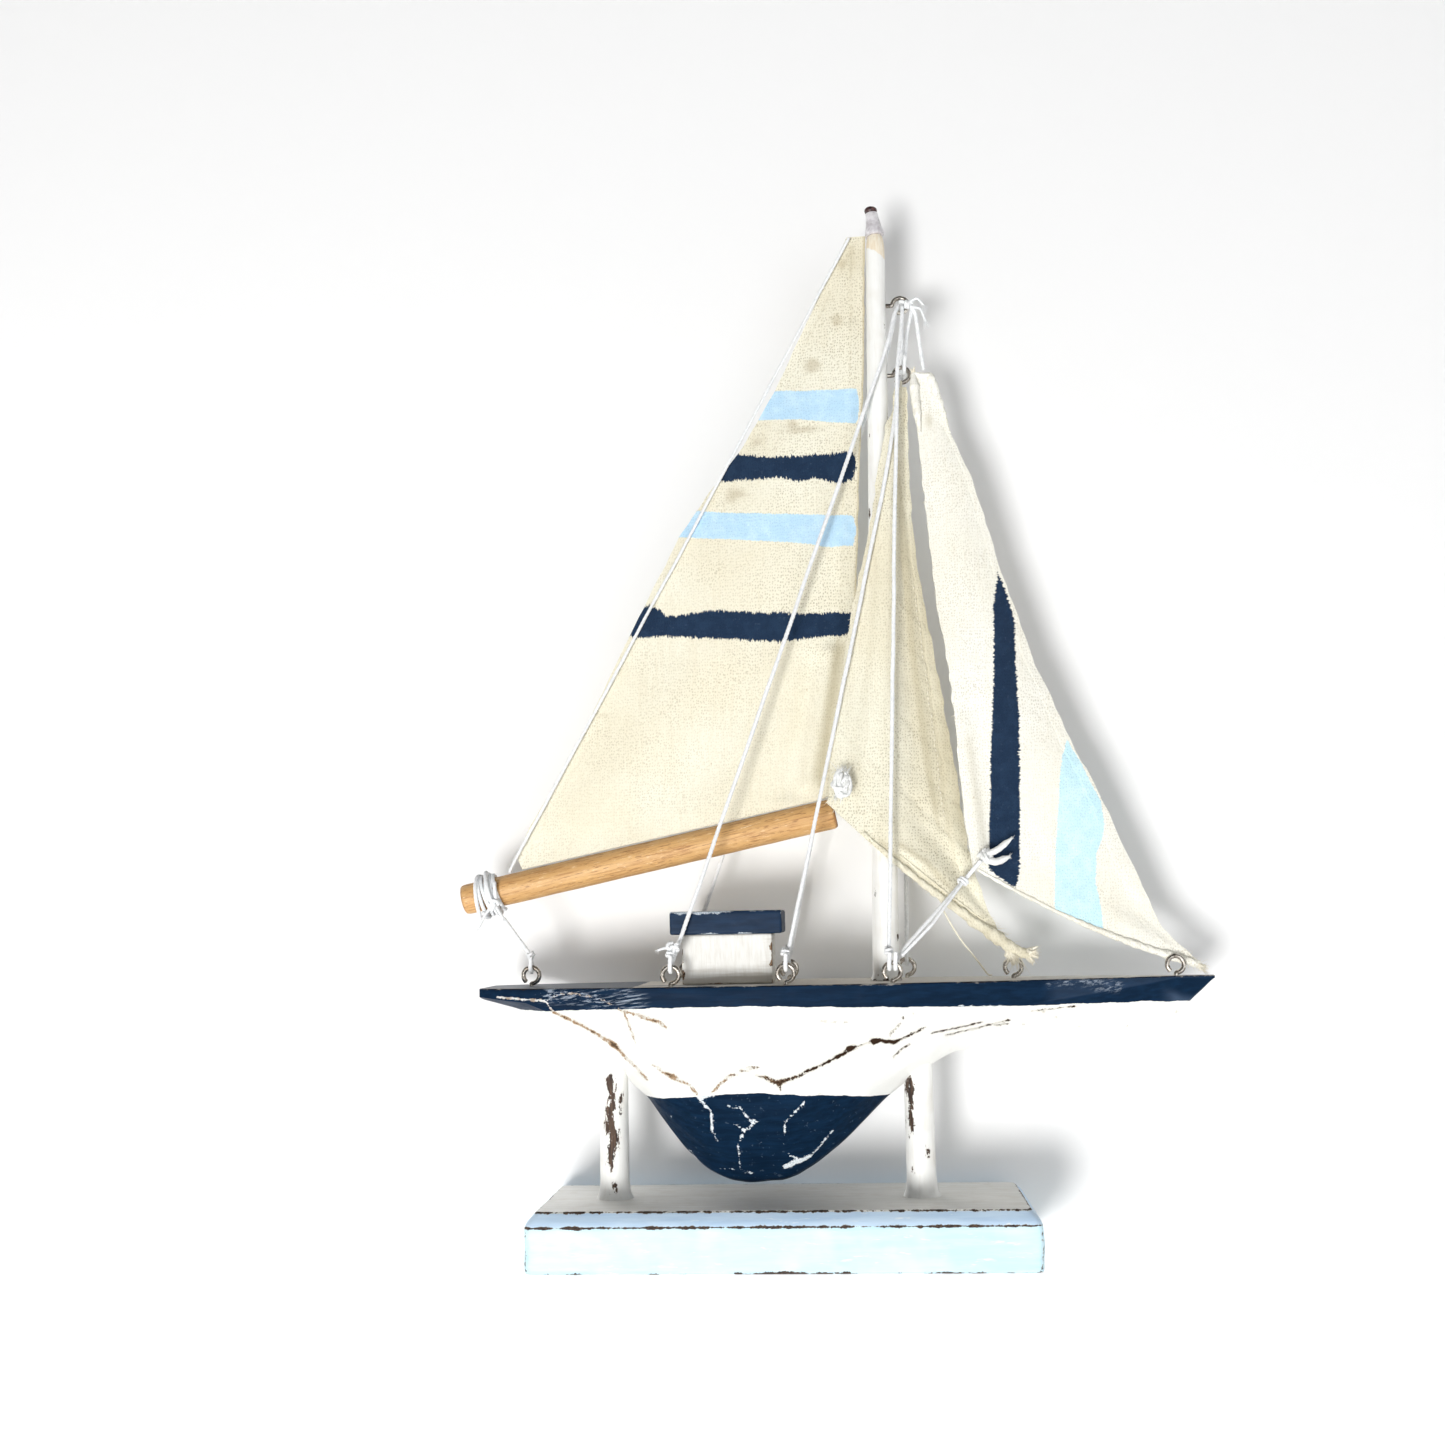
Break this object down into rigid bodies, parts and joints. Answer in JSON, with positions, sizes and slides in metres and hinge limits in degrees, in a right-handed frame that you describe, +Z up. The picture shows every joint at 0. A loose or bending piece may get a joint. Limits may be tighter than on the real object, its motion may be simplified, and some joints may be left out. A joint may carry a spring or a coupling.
{
  "type": "model sailboat on a stand",
  "caption": "Decorative painted wooden model sailboat with cloth sails and string rigging, standing on two dowels let into a chamfered wooden base.",
  "frame": {"origin": "centre of the underside of the stand's base", "axes": "+X towards the bow, -Y towards the starboard side, +Z up along the posts"},
  "size_m": [0.2391, 0.055, 0.3418],
  "materials": {
    "pale_blue_paint": "pale blue paint on wood, edges rubbed through to brown, satin",
    "white_paint": "white paint on wood, edges rubbed through to brown, satin",
    "navy_paint": "navy paint on wood with white scuffs and chips, satin",
    "clear_glue": "greyish translucent glue, satin",
    "dark_cap": "dark brown, satin",
    "natural_wood": "bare light wood with fine darker grain, matte",
    "cream_cloth": "cream plain-weave muslin with painted light blue and navy stripes, matte",
    "white_cloth": "off-white plain-weave muslin with painted navy and light blue stripes, matte",
    "white_string": "white twisted cotton string, matte",
    "cream_string": "cream thread, matte",
    "nickel_wire": "nickel-plated wire, polished"
  },
  "bodies": {
    "hull": {"stand_base": "pale_blue_paint", "stand_post_aft": "white_paint", "stand_post_fore": "white_paint", "hull_band": "navy_paint", "hull_body": "white_paint", "hull_keel": "navy_paint", "cabin_block": "white_paint", "cabin_roof": "navy_paint", "mast": "white_paint", "masthead_peg": "clear_glue", "masthead_cap": "dark_cap", "staysail": "cream_cloth", "jib_halyard": "white_string", "shroud_aft": "white_string", "shroud_mid": "white_string", "shroud_fore": "white_string", "staysail_clew_knot": "white_string", "staysail_tack_tie": "cream_string", "loose_thread": "cream_string", "eye_stern": "nickel_wire", "eye_aft_starboard": "nickel_wire", "eye_aft_port": "nickel_wire", "eye_mid_starboard": "nickel_wire", "eye_mid_port": "nickel_wire", "eye_fore_starboard": "nickel_wire", "eye_fore_port": "nickel_wire", "eye_staysail_tack": "nickel_wire", "eye_bow": "nickel_wire", "eye_mast_upper": "nickel_wire", "eye_mast_lower": "nickel_wire"},
    "main_rig": {"boom": "natural_wood", "boom_lashing": "white_string", "mainsail": "cream_cloth", "topping_lift": "white_string"},
    "main_sheet": {"main_sheet": "white_string"},
    "jib": {"outer_jib": "white_cloth", "jib_clew_knot": "white_string"},
    "jib_sheet": {"jib_sheet": "white_string"}
  },
  "joints": [
    {"name": "boom_swing", "type": "hinge", "parent": "hull", "child": "main_rig", "pos_m": [0.0365, 0, 0.138], "axis": [0, 0, 1], "range_deg": [-3, 3]},
    {"name": "main_sheet_tilt", "type": "hinge", "parent": "hull", "child": "main_sheet", "pos_m": [-0.0798, 0, 0.0907], "axis": [1, 0, 0], "range_deg": [-24, 24]},
    {"name": "jib_swing", "type": "hinge", "parent": "hull", "child": "jib", "pos_m": [0.126, 0.001, 0.09], "axis": [-0.3501, -0.0087, 0.9367], "range_deg": [0, 9]},
    {"name": "jib_sheet_tilt", "type": "hinge", "parent": "hull", "child": "jib_sheet", "pos_m": [0.03673, -0.02, 0.0905], "axis": [1, 0, 0], "range_deg": [0, 17.2]}
  ],
  "couplings": [
    {"joint": "main_sheet_tilt", "follows": "boom_swing", "ratio": 7.9},
    {"joint": "jib_sheet_tilt", "follows": "jib_swing", "ratio": 1.88}
  ]
}
